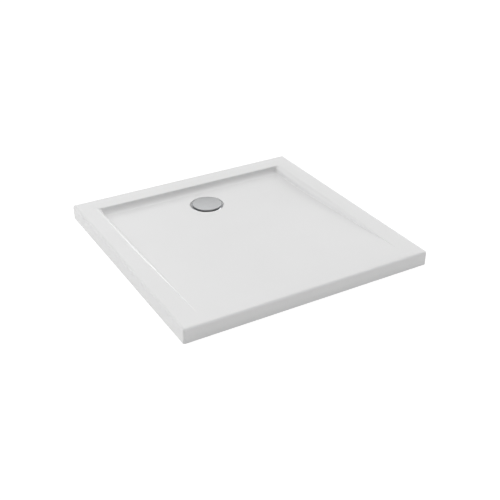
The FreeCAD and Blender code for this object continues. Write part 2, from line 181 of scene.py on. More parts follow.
# ---- levelling studs
STUD = {
    "Ball Radius": 0.005,
    "Neck Radius": 0.0035,
    "Collar Low": 0.0045,
    "Collar Thickness": 0.003,
    "Collar Flats": 0.013,
    "Thread Radius": 0.005,
    "Thread Depth": 0.0009,
    "Pitch": 0.0015,
    "Length": 0.0358,
}
STUD_SIDES = 24
ROWS_PER_PITCH = 8

# How far from the middle of a crest the thread's slope starts and ends, in pitches.
CREST = 0.06
ROOT = 0.38

# ---- finishes
ACRYLIC_THIN = "#E0E0E0"
ACRYLIC_THICK = "#E2E2E2"
STRAND_WAYS = 5
COVER_COLOURS = ("#A1A2A3", "#ABACAD")
COVER_ROUGHNESS = (0.36, 0.46)

# A Wave texture of scale 1 repeats every so many units.
WAVE_PERIOD = math.pi / 10


def srgb(code):
    """A hex colour as linear values with alpha."""
    shares = [int(code[i:i + 2], 16) / 255 for i in (1, 3, 5)]
    return [s / 12.92 if s <= 0.04045 else ((s + 0.055) / 1.055) ** 2.4 for s in shares] + [1.0]


def add(tree, kind, links=(), **settings):
    """Adds a node. links are (input, value) pairs, where a value is a plain one, a socket or a node."""
    node = tree.nodes.new(kind)
    for name, value in settings.items():
        setattr(node, name, value)
    for socket, value in links:
        if isinstance(value, bpy.types.Node):
            value = value.outputs[0]
        if isinstance(value, bpy.types.NodeSocket):
            tree.links.new(value, node.inputs[socket])
        else:
            node.inputs[socket].default_value = value
    return node


# ---- studio

def camera():
    """Looks down on the whole tray, from left of the front."""
    yaw, elevation = CAMERA_YAW, CAMERA_ELEVATION
    back = Vector((math.sin(yaw) * math.cos(elevation), -math.cos(yaw) * math.cos(elevation),
                   math.sin(elevation)))
    level = Vector((0, 0, 1)).cross(back).normalized()
    upright = back.cross(level)
    right = math.cos(CAMERA_ROLL) * level + math.sin(CAMERA_ROLL) * upright
    up = math.cos(CAMERA_ROLL) * upright - math.sin(CAMERA_ROLL) * level
    data = bpy.data.cameras.new("camera")
    data.sensor_width = SENSOR
    data.lens = SENSOR * FOCAL_PIXELS / IMAGE_PIXELS
    made = bpy.data.objects.new("camera", data)
    place = (CAMERA_RIGHT * right + CAMERA_UP * up + CAMERA_DISTANCE * back) * SIDE
    made.matrix_world = Matrix.Translation(place) @ Matrix((right, up, back)).transposed().to_4x4()
    bpy.context.scene.collection.objects.link(made)
    bpy.context.scene.camera = made


def lamp(name, bearing, height, width, strength):
    """A soft lamp far away, by where it stands and how wide it looks."""
    bearing, height = math.radians(bearing), math.radians(height)
    source = Vector((math.cos(bearing) * math.cos(height), math.sin(bearing) * math.cos(height),
                     math.sin(height)))
    data = bpy.data.lights.new(name, "SUN")
    data.energy = strength * math.pi
    data.angle = math.radians(width)
    made = bpy.data.objects.new(name, data)
    made.rotation_mode = "QUATERNION"
    made.rotation_quaternion = source.to_track_quat("Z", "Y")
    bpy.context.scene.collection.objects.link(made)


def seen_directly(tree):
    """1 for camera, glossy and transmission rays, which show the backdrop as it is."""
    ray = add(tree, "ShaderNodeLightPath").outputs
    first = add(tree, "ShaderNodeMath", [(0, ray["Is Camera Ray"]), (1, ray["Is Glossy Ray"])],
                operation="MAXIMUM")
    return add(tree, "ShaderNodeMath", [(0, first), (1, ray["Is Transmission Ray"])], operation="MAXIMUM")


def sky():
    world = bpy.data.worlds.new("studio")
    world.use_nodes = True
    tree = world.node_tree
    tree.nodes.clear()
    strength = add(tree, "ShaderNodeMapRange", [
        ("Value", seen_directly(tree)), ("To Min", SKY), ("To Max", 1.0)])
    light = add(tree, "ShaderNodeBackground", [("Color", (1, 1, 1, 1)), ("Strength", strength)])
    add(tree, "ShaderNodeOutputWorld", [("Surface", light)])
    bpy.context.scene.world = world


def floor():
    """White paper that shows white to the camera, keeps a shadow and is clear from below."""
    half = FLOOR_SIZE / 2
    mesh = bpy.data.meshes.new("studio_floor")
    corners = [(-half, -half, 0), (half, -half, 0), (half, half, 0), (-half, half, 0)]
    mesh.from_pydata(corners, [], [(0, 1, 2, 3)])
    made = bpy.data.objects.new("studio_floor", mesh)
    bpy.context.scene.collection.objects.link(made)
    paper, tree = material("white_paper_floor")
    lit = add(tree, "ShaderNodeBsdfDiffuse", [("Color", srgb(FLOOR_COLOUR))])
    pale = add(tree, "ShaderNodeBsdfDiffuse", [("Color", (FLOOR_TONE, FLOOR_TONE, FLOOR_TONE, 1))])
    glow = add(tree, "ShaderNodeEmission", [("Color", (1, 1, 1, 1)), ("Strength", FLOOR_GLOW)])
    shown = add(tree, "ShaderNodeAddShader", [(0, pale), (1, glow)])
    both = add(tree, "ShaderNodeMixShader", [(0, seen_directly(tree)), (1, lit), (2, shown)])
    clear = add(tree, "ShaderNodeBsdfTransparent")
    under = add(tree, "ShaderNodeNewGeometry")
    sided = add(tree, "ShaderNodeMixShader", [(0, under.outputs["Backfacing"]), (1, both), (2, clear)])
    add(tree, "ShaderNodeOutputMaterial", [("Surface", sided)])
    mesh.materials.append(paper)


# ---- finishes

def material(name):
    """A material with an empty tree."""
    made = bpy.data.materials.new(name)
    made.use_nodes = True
    made.node_tree.nodes.clear()
    return made, made.node_tree


def per(millimetres):
    """Texture scale that repeats about every so many millimetres."""
    return 1000.0 / millimetres


def mix(tree, share, first, second):
    """The colour that passes from one hex colour to another with share."""
    mixed = add(tree, "ShaderNodeMix", [(0, share), (6, srgb(first)), (7, srgb(second))], data_type="RGBA")
    return mixed.outputs[2]


def white_acrylic():
    """Cast acrylic sheet, vacuum formed: even white with a soft gloss. Drawing it over the mould leaves a
    faint long orange peel, and wiping leaves patches that shine a little less."""
    made, tree = material("vacuum_formed_white_acrylic")
    place = add(tree, "ShaderNodeTexCoord").outputs["Object"]
    depth = add(tree, "ShaderNodeTexNoise", [("Vector", place), ("Scale", per(160)), ("Detail", 1.0)])
    peel = add(tree, "ShaderNodeTexNoise", [("Vector", place), ("Scale", per(15)), ("Detail", 2.0)])
    wiped = add(tree, "ShaderNodeTexNoise", [("Vector", place), ("Scale", per(90)), ("Detail", 3.0)])
    rough = add(tree, "ShaderNodeMapRange", [("Value", wiped), ("From Min", 0.3), ("From Max", 0.7),
                                             ("To Min", 0.17), ("To Max", 0.23)])
    bump = add(tree, "ShaderNodeBump", [("Strength", 0.03), ("Distance", 0.0004), ("Height", peel)])
    shader = add(tree, "ShaderNodeBsdfPrincipled", [
        ("Base Color", mix(tree, depth, ACRYLIC_THIN, ACRYLIC_THICK)), ("Roughness", rough), ("IOR", 1.49),
        ("Normal", bump)])
    add(tree, "ShaderNodeOutputMaterial", [("Surface", shader)])
    return made


def glass_fibre():
    """Chopped glass strands rolled into polyester resin: straw coloured, with pale strands about 50 mm
    long that cross every way and stand up a little. Each way is drawn from another place in the noise."""
    made, tree = material("laid_glass_fibre")
    place = add(tree, "ShaderNodeTexCoord").outputs["Object"]
    strands = 0.0
    for turn in range(STRAND_WAYS):
        along = add(tree, "ShaderNodeMapping", [
            ("Vector", place), ("Location", (0.1 * turn, 0.0, 0.0)),
            ("Rotation", (0.0, 0.0, math.pi * turn / STRAND_WAYS)), ("Scale", (0.050, 0.0016, 0.008))],
                    vector_type="TEXTURE")
        way = add(tree, "ShaderNodeTexNoise", [("Vector", along), ("Scale", 1.0), ("Detail", 1.0)])
        strands = add(tree, "ShaderNodeMath", [(0, strands), (1, way)], operation="MAXIMUM")
    shown = add(tree, "ShaderNodeMapRange", [("Value", strands), ("From Min", 0.5), ("From Max", 0.8)])
    bump = add(tree, "ShaderNodeBump", [("Strength", 0.6), ("Distance", 0.0005), ("Height", shown)])
    rough = add(tree, "ShaderNodeMapRange", [("Value", shown), ("To Min", 0.35), ("To Max", 0.6)])
    shader = add(tree, "ShaderNodeBsdfPrincipled", [
        ("Base Color", mix(tree, shown, "#B4AA80", "#E6E2CC")), ("Roughness", rough), ("IOR", 1.54),
        ("Normal", bump)])
    add(tree, "ShaderNodeOutputMaterial", [("Surface", shader)])
    return made


def chipboard():
    """Wood chips pressed with resin: blunt flakes a few millimetres long in tans and browns, with a
    matt face and open pores between them."""
    made, tree = material("pressed_chipboard")
    place = add(tree, "ShaderNodeTexCoord").outputs["Object"]
    laid = add(tree, "ShaderNodeMapping", [("Vector", place), ("Scale", (0.007, 0.0035, 0.0015))],
               vector_type="TEXTURE")
    flake = add(tree, "ShaderNodeTexVoronoi", [("Vector", laid), ("Scale", 1.0)])
    shade = add(tree, "ShaderNodeSeparateColor", [("Color", flake.outputs["Color"])])
    grain = add(tree, "ShaderNodeTexNoise", [("Vector", place), ("Scale", per(0.9)), ("Detail", 2.0)])
    tone = add(tree, "ShaderNodeMath", [(0, shade), (1, grain)], operation="MULTIPLY")
    stretched = add(tree, "ShaderNodeMapRange", [("Value", tone), ("From Max", 0.55)])
    pores = add(tree, "ShaderNodeMath", [(0, grain), (1, flake.outputs["Distance"])], operation="SUBTRACT")
    bump = add(tree, "ShaderNodeBump", [("Strength", 0.5), ("Distance", 0.0004), ("Height", pores)])
    rough = add(tree, "ShaderNodeMapRange", [("Value", grain), ("To Min", 0.75), ("To Max", 0.95)])
    shader = add(tree, "ShaderNodeBsdfPrincipled", [
        ("Base Color", mix(tree, stretched, "#86643A", "#D3B486")), ("Roughness", rough), ("Normal", bump)])
    add(tree, "ShaderNodeOutputMaterial", [("Surface", shader)])
    return made


def satin_chrome():
    """Pressed steel in satin chrome plate: a soft silver sheen from fine rings left by the turning
    wheel. The rings are drawn a millimetre apart, coarser than the real ones, so that they show."""
    made, tree = material("satin_chrome_plate")
    place = add(tree, "ShaderNodeTexCoord").outputs["Object"]
    centred = add(tree, "ShaderNodeMapping", [
        ("Vector", place), ("Location", (0.0, -MOULDING["Drain"], 0.0))])
    rings = add(tree, "ShaderNodeTexWave", [("Vector", centred), ("Scale", WAVE_PERIOD * per(1.0)),
                                            ("Distortion", 0.6)], wave_type="RINGS", rings_direction="Z")
    haze = add(tree, "ShaderNodeTexNoise", [("Vector", place), ("Scale", per(12)), ("Detail", 2.0)])
    share = add(tree, "ShaderNodeMath", [(0, rings), (1, haze)], operation="MULTIPLY")
    rough = add(tree, "ShaderNodeMapRange", [("Value", share), ("To Min", COVER_ROUGHNESS[0]),
                                             ("To Max", COVER_ROUGHNESS[1])])
    bump = add(tree, "ShaderNodeBump", [("Strength", 0.05), ("Distance", 0.00005), ("Height", rings)])
    shader = add(tree, "ShaderNodeBsdfPrincipled", [
        ("Base Color", mix(tree, haze, *COVER_COLOURS)), ("Metallic", 1.0), ("Roughness", rough),
        ("Normal", bump)])
    add(tree, "ShaderNodeOutputMaterial", [("Surface", shader)])
    return made


def mottled(name, colours, patch, roughness, grain, relief, **constants):
    """A finish whose colour drifts between two over patches so many millimetres wide, and whose
    roughness and relief, in millimetres, follow a grain. constants are for the shader's own sockets."""
    made, tree = material(name)
    place = add(tree, "ShaderNodeTexCoord").outputs["Object"]
    drift = add(tree, "ShaderNodeTexNoise", [("Vector", place), ("Scale", per(patch)), ("Detail", 3.0)])
    fine = add(tree, "ShaderNodeTexNoise", [("Vector", place), ("Scale", per(grain)), ("Detail", 1.0)])
    share = add(tree, "ShaderNodeMapRange", [("Value", drift), ("From Min", 0.35), ("From Max", 0.65)])
    rough = add(tree, "ShaderNodeMapRange", [("Value", fine), ("From Min", 0.3), ("From Max", 0.7),
                                             ("To Min", roughness[0]), ("To Max", roughness[1])])
    bump = add(tree, "ShaderNodeBump", [("Strength", 0.5), ("Distance", relief / 1000), ("Height", fine)])
    shader = add(tree, "ShaderNodeBsdfPrincipled", [
        ("Base Color", mix(tree, share, *colours)), ("Roughness", rough), ("Normal", bump),
        *constants.items()])
    add(tree, "ShaderNodeOutputMaterial", [("Surface", shader)])
    return made


# ---- shapes

def begin(name, sizes, result="NodeSocketGeometry"):
    """A Geometry Nodes tree with these named inputs and one result, and what the inputs give by name."""
    tree = bpy.data.node_groups.new(name, "GeometryNodeTree")
    tree.interface.new_socket("Result", in_out="OUTPUT", socket_type=result)
    for size, value in sizes.items():
        socket = tree.interface.new_socket(size, in_out="INPUT", socket_type="NodeSocketFloat")
        socket.default_value = value
    given = add(tree, "NodeGroupInput").outputs
    return tree, {size: given[size] for size in sizes}


def work_out(tree, known, steps):
    """Adds a calculation to known, one named step a row. RANGE is a clamped Map Range and the other
    words are Math operations. What goes in is a number or the name of something known."""
    for name, operation, *values in steps:
        links = [(place, known.get(value, value)) for place, value in enumerate(values)]
        if operation == "RANGE":
            known[name] = add(tree, "ShaderNodeMapRange", links)
        else:
            known[name] = add(tree, "ShaderNodeMath", links, operation=operation)


def end(tree, made):
    """Ends a tree: edges past the sharp angle stay crisp, and all is real geometry in its finish."""
    tree.interface.new_socket("Material", in_out="INPUT", socket_type="NodeSocketMaterial")
    finish = add(tree, "NodeGroupInput").outputs["Material"]
    smooth = add(tree, "GeometryNodeSetShadeSmooth", [("Geometry", made)])
    angle = add(tree, "GeometryNodeInputMeshEdgeAngle")
    sharp = add(tree, "FunctionNodeCompare", [(0, angle), (1, SHARP_ANGLE)], operation="GREATER_THAN")
    creased = add(tree, "GeometryNodeSetShadeSmooth",
                  [("Geometry", smooth), ("Selection", sharp), ("Shade Smooth", False)], domain="EDGE")
    real = add(tree, "GeometryNodeRealizeInstances", [("Geometry", creased)])
    coated = add(tree, "GeometryNodeSetMaterial", [("Geometry", real), ("Material", finish)])
    add(tree, "NodeGroupOutput", [(0, coated)])
    return tree


def eased():
    """Zero up to -Half, Value itself past Half, and a parabola between the two."""
    tree, known = begin("eased", {"Value": 0.0, "Half": 1.0}, "NodeSocketFloat")
    work_out(tree, known, (
        ("raised", "ADD", "Value", "Half"),
        ("started", "MAXIMUM", "raised", 0.0),
        ("whole", "MULTIPLY", "Half", 2.0),
        ("held", "MINIMUM", "started", "whole"),
        ("square", "MULTIPLY", "held", "held"),
        ("twice", "MULTIPLY", "whole", 2.0),
        ("curve", "DIVIDE", "square", "twice"),
        ("past", "SUBTRACT", "Value", "Half"),
        ("straight", "MAXIMUM", "past", 0.0),
        ("result", "ADD", "curve", "straight"),
    ))
    add(tree, "NodeGroupOutput", [(0, known["result"])])
    return tree


def fall(tree, known):
    """How far the basin floor lies under the rim at y: level round the waste, then a ramp to the front."""
    work_out(tree, known, (
        ("ramp_top", "ADD", "front_line", "Front Blend"),
        ("ramp_run", "SUBTRACT", "Ramp Foot", "ramp_top"),
        ("slope", "DIVIDE", "Basin Depth", "ramp_run"),
        ("past_top", "SUBTRACT", "y", "ramp_top"),
        ("past_foot", "SUBTRACT", "y", "Ramp Foot"),
    ))
    curve = eased()
    for name, past, half in (("climb", "past_top", "Front Blend"), ("level", "past_foot", "Ramp Blend")):
        known[name] = add(tree, "GeometryNodeGroup", [("Value", known[past]), ("Half", known[half])],
                          node_tree=curve)
    work_out(tree, known, (
        ("run", "SUBTRACT", "climb", "level"),
        ("depth", "MULTIPLY", "run", "slope"),
    ))


def wall(tree, known):
    """Drop under the rim at x, y: brow arc, leaning wall, foot arc, floor. The side and back walls meet
    in a soft mitre, where each size passes from one wall's to the other's."""
    for name, place in (("Side", "across_x"), ("Back", "y")):
        work_out(tree, known, (
            (name + " open", "SUBTRACT", QUARTER, name + " Lean"),
            (name + " half open", "DIVIDE", name + " open", 2.0),
            (name + " shift", "TANGENT", name + " half open"),
            (name + " line", "MULTIPLY_ADD", name + " shift", "Inset", name + " top"),
            (name + " inside", "SUBTRACT", name + " line", place),
        ))
    work_out(tree, known, (
        ("apart", "SUBTRACT", "Back inside", "Side inside"),
        ("before", "MULTIPLY", "Corner Blend", -1.0),
        ("lean", "RANGE", "apart", "before", "Corner Blend", "Back Lean", "Side Lean"),
        ("show_brow", "RANGE", "apart", "before", "Corner Blend", "Back Brow", "Side Brow"),
        ("show_foot", "RANGE", "apart", "before", "Corner Blend", "Back Foot", "Side Foot"),
        ("thin_brow", "SUBTRACT", "show_brow", "Inset"),
        ("full_brow", "MAXIMUM", "thin_brow", SMALLEST_RADIUS),
        ("full_foot", "ADD", "show_foot", "Inset"),
        ("distance", "ABSOLUTE", "apart"),
        ("turning", "RANGE", "distance", 0.0, "Corner Blend", 1.0, 0.0),
        ("turning_square", "MULTIPLY", "turning", "turning"),
        ("quarter_blend", "MULTIPLY", "Corner Blend", -0.25),
        ("nearest", "MINIMUM", "Side inside", "Back inside"),
        ("inside", "MULTIPLY_ADD", "quarter_blend", "turning_square", "nearest"),
        ("open", "SUBTRACT", QUARTER, "lean"),
        ("half_open", "DIVIDE", "open", 2.0),
        ("reach", "TANGENT", "half_open"),
        ("lean_sine", "SINE", "lean"),
        ("lean_cosine", "COSINE", "lean"),
        ("lean_tangent", "TANGENT", "lean"),
        ("radii", "ADD", "full_brow", "full_foot"),
        ("radii_reach", "MULTIPLY", "radii", "reach"),
        ("radii_drop", "MULTIPLY", "radii_reach", "lean_cosine"),
        ("room", "DIVIDE", "depth", "radii_drop"),
        ("share", "MINIMUM", "room", 1.0),
        ("brow", "MULTIPLY", "full_brow", "share"),
        ("foot", "MULTIPLY", "full_foot", "share"),
        ("brow_reach", "MULTIPLY", "brow", "reach"),
        ("foot_reach", "MULTIPLY", "foot", "reach"),
        ("wall_run", "MULTIPLY", "depth", "lean_tangent"),
        ("foot_end", "ADD", "wall_run", "foot_reach"),
        ("from_brow", "ADD", "inside", "brow_reach"),
        ("to_floor", "SUBTRACT", "foot_end", "inside"),
    ))
    for name, run in (("brow", "from_brow"), ("foot", "to_floor")):
        work_out(tree, known, (
            (name + "_run", "MULTIPLY", name, "lean_cosine"),
            (name + "_past", "MAXIMUM", run, 0.0),
            (name + "_along", "MINIMUM", name + "_past", name + "_run"),
            (name + "_along_square", "MULTIPLY", name + "_along", name + "_along"),
            (name + "_square", "MULTIPLY", name, name),
            (name + "_left", "SUBTRACT", name + "_square", name + "_along_square"),
            (name + "_rise", "SQRT", name + "_left"),
        ))
    work_out(tree, known, (
        ("brow_drop", "SUBTRACT", "brow", "brow_rise"),
        ("brow_end", "MULTIPLY", "brow_reach", "lean_sine"),
        ("foot_back", "MULTIPLY", "foot_reach", "lean_sine"),
        ("foot_start", "SUBTRACT", "wall_run", "foot_back"),
        ("straight_run", "SUBTRACT", "foot_start", "brow_end"),
        ("down_wall", "SUBTRACT", "inside", "brow_end"),
        ("down_wall_past", "MAXIMUM", "down_wall", 0.0),
        ("down_wall_held", "MINIMUM", "down_wall_past", "straight_run"),
        ("wall_drop", "DIVIDE", "down_wall_held", "lean_tangent"),
        ("foot_low", "MULTIPLY", "foot", "lean_sine"),
        ("foot_drop", "SUBTRACT", "foot_rise", "foot_low"),
        ("upper_drop", "ADD", "brow_drop", "wall_drop"),
        ("basin_drop", "ADD", "upper_drop", "foot_drop"),
    ))


def rim_rings(tree, known):
    """Past the flat of the rim: how far each ring lies inside the edge and below the rim, and how its
    corners are rounded."""
    work_out(tree, known, (
        ("thin_edge", "SUBTRACT", "Skirt Edge", "Inset"),
        ("edge", "MAXIMUM", "thin_edge", SMALLEST_RADIUS),
        ("thin_corner", "SUBTRACT", "Skirt Corner", "Inset"),
        ("corner", "MAXIMUM", "thin_corner", SMALLEST_RADIUS),
        ("past_side", "SUBTRACT", "across_line", SIDE_FLAT),
        ("over_side", "MAXIMUM", "past_side", 0.0),
        ("past_end", "SUBTRACT", "along_line", END_FLAT),
        ("over_end", "MAXIMUM", "past_end", 0.0),
        ("over", "MAXIMUM", "over_side", "over_end"),
        ("edge_turn", "RANGE", "over", 0.0, EDGE_RINGS, 0.0, QUARTER),
        ("edge_sine", "SINE", "edge_turn"),
        ("edge_short", "SUBTRACT", 1.0, "edge_sine"),
        ("edge_in", "MULTIPLY", "edge_short", "edge"),
        ("edge_cosine", "COSINE", "edge_turn"),
        ("edge_fallen", "SUBTRACT", 1.0, "edge_cosine"),
        ("edge_drop", "MULTIPLY", "edge_fallen", "edge"),
        ("skirt_height", "SUBTRACT", "top", "edge"),
        ("skirt_rest", "SUBTRACT", "skirt_height", EDGE_STRIP),
        ("strip_drop", "RANGE", "over", EDGE_RINGS, SKIRT_RINGS[0], 0.0, EDGE_STRIP),
        ("skirt_drop", "RANGE", "over", SKIRT_RINGS[0], SKIRT_RINGS[1], 0.0, "skirt_rest"),
        ("hem_in", "RANGE", "over", SKIRT_RINGS[1], HEM_RING, 0.0, "hem"),
        ("edge_line", "SUBTRACT", "half", "edge_in"),
        ("corner_line", "SUBTRACT", "half", "corner"),
        ("turn_line", "MINIMUM", "edge_line", "corner_line"),
        ("turn_front", "MULTIPLY", "turn_line", -1.0),
        ("hemmed_line", "SUBTRACT", "edge_line", "hem_in"),
        ("turn_radius", "SUBTRACT", "hemmed_line", "turn_line"),
        ("over_x", "MULTIPLY", "over_side", "side_sign"),
        ("over_y", "MULTIPLY", "over_end", "end_sign"),
        ("over_bearing", "ARCTAN2", "over_y", "over_x"),
        ("over_cosine", "COSINE", "over_bearing"),
        ("over_sine", "SINE", "over_bearing"),
        ("line_x", "MINIMUM", "station_x", "turn_line"),
        ("signed_x", "MULTIPLY", "line_x", "side_sign"),
        ("outer_x", "MULTIPLY_ADD", "turn_radius", "over_cosine", "signed_x"),
        ("line_y", "MINIMUM", "station_y", "turn_line"),
        ("held_y", "MAXIMUM", "line_y", "turn_front"),
        ("outer_y", "MULTIPLY_ADD", "turn_radius", "over_sine", "held_y"),
    ))


def waste_rings(tree, known):
    """Round the waste: the radius of each ring of the recess and how far it lies below the floor."""
    work_out(tree, known, (
        ("recess", "ADD", "Recess Radius", "Inset"),
        ("thin_lip", "SUBTRACT", "Recess Edge", "Inset"),
        ("lip", "MAXIMUM", "thin_lip", SMALLEST_RADIUS),
        ("wide_turn", "ADD", "Recess Foot", "Inset"),
        ("recess_room", "SUBTRACT", "Recess Drop", "lip"),
        ("turn_room", "SUBTRACT", "recess_room", SMALLEST_RADIUS),
        ("turn", "MINIMUM", "wide_turn", "turn_room"),
        ("lip_turn", "RANGE", "ring", LIP_RING, WALL_RING, 0.0, QUARTER),
        ("lip_sine", "SINE", "lip_turn"),
        ("lip_cosine", "COSINE", "lip_turn"),
        ("foot_turn", "RANGE", "ring", FOOT_RING, SEAT_OUT_RING, 0.0, QUARTER),
        ("foot_sine", "SINE", "foot_turn"),
        ("foot_cosine", "COSINE", "foot_turn"),
        ("lip_radius", "ADD", "recess", "lip"),
        ("lip_run", "MULTIPLY", "lip", "lip_sine"),
        ("wall_radius", "SUBTRACT", "lip_radius", "lip_run"),
        ("turn_short", "SUBTRACT", 1.0, "foot_cosine"),
        ("turn_run", "MULTIPLY", "turn_short", "turn"),
        ("turned_radius", "SUBTRACT", "wall_radius", "turn_run"),
        ("seat_edge", "SUBTRACT", "recess", "turn"),
        ("seat_width", "SUBTRACT", "seat_edge", "Waste Hole"),
        ("seat_run", "RANGE", "ring", SEAT_OUT_RING, SEAT_IN_RING, 0.0, "seat_width"),
        ("ring_radius", "SUBTRACT", "turned_radius", "seat_run"),
        ("bearing", "ARCTAN2", "v", "u"),
        ("bearing_cosine", "COSINE", "bearing"),
        ("bearing_sine", "SINE", "bearing"),
        ("circle_x", "MULTIPLY", "ring_radius", "bearing_cosine"),
        ("circle_y", "MULTIPLY_ADD", "ring_radius", "bearing_sine", "Drain"),
        ("lip_short", "SUBTRACT", 1.0, "lip_cosine"),
        ("lip_drop", "MULTIPLY", "lip_short", "lip"),
        ("recess_wall", "SUBTRACT", "recess_room", "turn"),
        ("recess_wall_drop", "RANGE", "ring", WALL_RING, FOOT_RING, 0.0, "recess_wall"),
        ("turn_drop", "MULTIPLY", "turn", "foot_sine"),
        ("hole_drop", "RANGE", "ring", SEAT_IN_RING, HOLE_RING, 0.0, "hem"),
    ))


def moulded_face():
    """One face of the moulding, Inset under the show face."""
    tree, known = begin("moulded_face", {**MOULDING, "Inset": 0.0})
    last_across, last_along = SIDE_FLAT + HEM_RING, END_FLAT + HEM_RING
    grid = add(tree, "GeometryNodeMeshGrid", [
        ("Size X", 2.0 * last_across), ("Size Y", 2.0 * last_along),
        ("Vertices X", 2 * last_across + 1), ("Vertices Y", 2 * last_along + 1)])
    number = add(tree, "ShaderNodeSeparateXYZ", [(0, add(tree, "GeometryNodeInputPosition"))])
    known["u"], known["v"] = number.outputs[0], number.outputs[1]
    work_out(tree, known, (
        ("across_line", "ABSOLUTE", "u"),
        ("along_line", "ABSOLUTE", "v"),
        ("ring", "MAXIMUM", "across_line", "along_line"),
        ("side_sign", "SIGN", "u"),
        ("end_sign", "SIGN", "v"),
        ("half_side", "DIVIDE", "Side", 2.0),
        ("half", "SUBTRACT", "half_side", "Inset"),
        ("top", "SUBTRACT", "Height", "Inset"),
        ("half_sheet", "DIVIDE", "Sheet", 2.0),
        ("hem", "SUBTRACT", "half_sheet", "Inset"),
        ("Side top", "SUBTRACT", "half_side", "Side Rim"),
        ("Back top", "SUBTRACT", "half_side", "Back Rim"),
        ("front_line", "SUBTRACT", "Front Rim", "half_side"),
        ("flat_end", "SUBTRACT", "half_side", "Skirt Edge"),
        ("flat_strip", "SUBTRACT", "flat_end", EDGE_STRIP),
        ("front_end", "MULTIPLY", "flat_end", -1.0),
        ("front_strip", "MULTIPLY", "flat_strip", -1.0),
        ("beyond_front", "MULTIPLY", "Side", -1.0),
        ("window_back", "ADD", "Drain", WINDOW),
        ("window_front", "SUBTRACT", "Drain", WINDOW),
    ))
    for name, margin in WALL_MARGINS.items():
        line = {"side": "Side top", "back": "Back top", "front": "front_line"}[name.split("_")[0]]
        work_out(tree, known, [(name, "ADD", line, margin)])
    known["station_x"], known["station_y"] = 0.0, known["Drain"]
    for first, last, line in ACROSS:
        work_out(tree, known, [("station_x", "RANGE", "across_line", first, last, "station_x", line)])
    for first, last, line in ALONG:
        work_out(tree, known, [("station_y", "RANGE", "v", first, last, "station_y", line)])
    rim_rings(tree, known)
    waste_rings(tree, known)
    work_out(tree, known, (
        ("x", "RANGE", "ring", LIP_RING, WINDOW_RING, "circle_x", "outer_x"),
        ("y", "RANGE", "ring", LIP_RING, WINDOW_RING, "circle_y", "outer_y"),
        ("across_x", "ABSOLUTE", "x"),
    ))
    fall(tree, known)
    wall(tree, known)
    work_out(tree, known, (
        ("basin", "SUBTRACT", "top", "basin_drop"),
        ("drain_floor", "SUBTRACT", "top", "Basin Depth"),
        ("z0", "RANGE", "ring", LIP_RING, WALL_RING, "basin", "drain_floor"),
        ("z1", "SUBTRACT", "z0", "lip_drop"),
        ("z2", "SUBTRACT", "z1", "recess_wall_drop"),
        ("z3", "SUBTRACT", "z2", "turn_drop"),
        ("z4", "SUBTRACT", "z3", "hole_drop"),
        ("z5", "SUBTRACT", "z4", "edge_drop"),
        ("z6", "SUBTRACT", "z5", "strip_drop"),
        ("z", "SUBTRACT", "z6", "skirt_drop"),
        ("in_hole", "LESS_THAN", "ring", HOLE_RING - 0.5),
    ))
    place = add(tree, "ShaderNodeCombineXYZ", [(0, known["x"]), (1, known["y"]), (2, known["z"])])
    opened = add(tree, "GeometryNodeDeleteGeometry", [("Geometry", grid), ("Selection", known["in_hole"])])
    shaped = add(tree, "GeometryNodeSetPosition", [("Geometry", opened), ("Position", place)])
    add(tree, "NodeGroupOutput", [(0, shaped)])
    return tree


def acrylic_moulding():
    """The tray's sheet: its show face and its back face, which meet at the hem and in the waste hole."""
    tree, known = begin("acrylic_moulding", MOULDING)
    face = moulded_face()
    show = add(tree, "GeometryNodeGroup", known.items(), node_tree=face)
    back = add(tree, "GeometryNodeGroup", [*known.items(), ("Inset", known["Sheet"])], node_tree=face)
    turned = add(tree, "GeometryNodeFlipFaces", [("Mesh", back)])
    both = add(tree, "GeometryNodeJoinGeometry", [(0, turned), (0, show)])
    whole = add(tree, "GeometryNodeMergeByDistance", [("Geometry", both), ("Distance", WELD)])
    return end(tree, whole)


